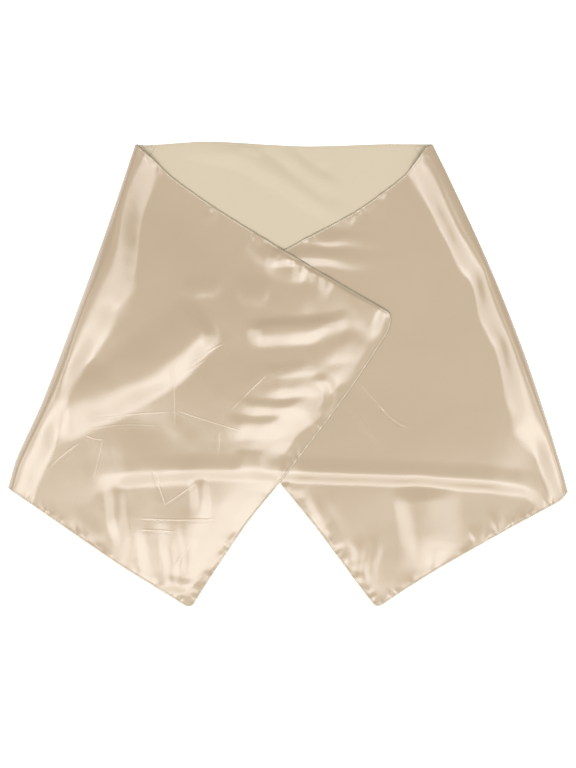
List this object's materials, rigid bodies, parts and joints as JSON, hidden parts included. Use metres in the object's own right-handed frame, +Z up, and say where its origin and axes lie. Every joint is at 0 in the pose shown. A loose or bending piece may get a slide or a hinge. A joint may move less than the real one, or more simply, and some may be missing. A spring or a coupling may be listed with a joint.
{
  "type": "evening stole",
  "caption": "Rectangular satin evening stole laid flat, its middle face down as the back, both ends folded forward over soft side rolls and crossed in front.",
  "frame": {"origin": "middle of the stole's outline, on the surface that it lies on", "axes": "+X to the wide side's right as seen from above, +Y towards the straight neck edge, +Z up from the surface"},
  "size_m": [1.1192, 0.9331, 0.0255],
  "materials": {
    "satin_face": "glossy champagne satin, the weave's long floats running along the stole",
    "satin_reverse": "matt cream reverse of the satin",
    "hem": "narrow turned hem in the same satin, with small puckers along its stitches"
  },
  "bodies": {
    "root": {"back_panel": "satin_reverse", "left_fold": "satin_face", "right_fold": "satin_face", "left_front": "satin_face", "right_front": "satin_face", "back_neck_hem": "hem", "back_lower_hem": "hem", "left_upper_hem": "hem", "left_end_hem": "hem", "left_lower_hem": "hem", "right_upper_hem": "hem", "right_end_hem": "hem", "right_lower_hem": "hem"}
  },
  "joints": []
}
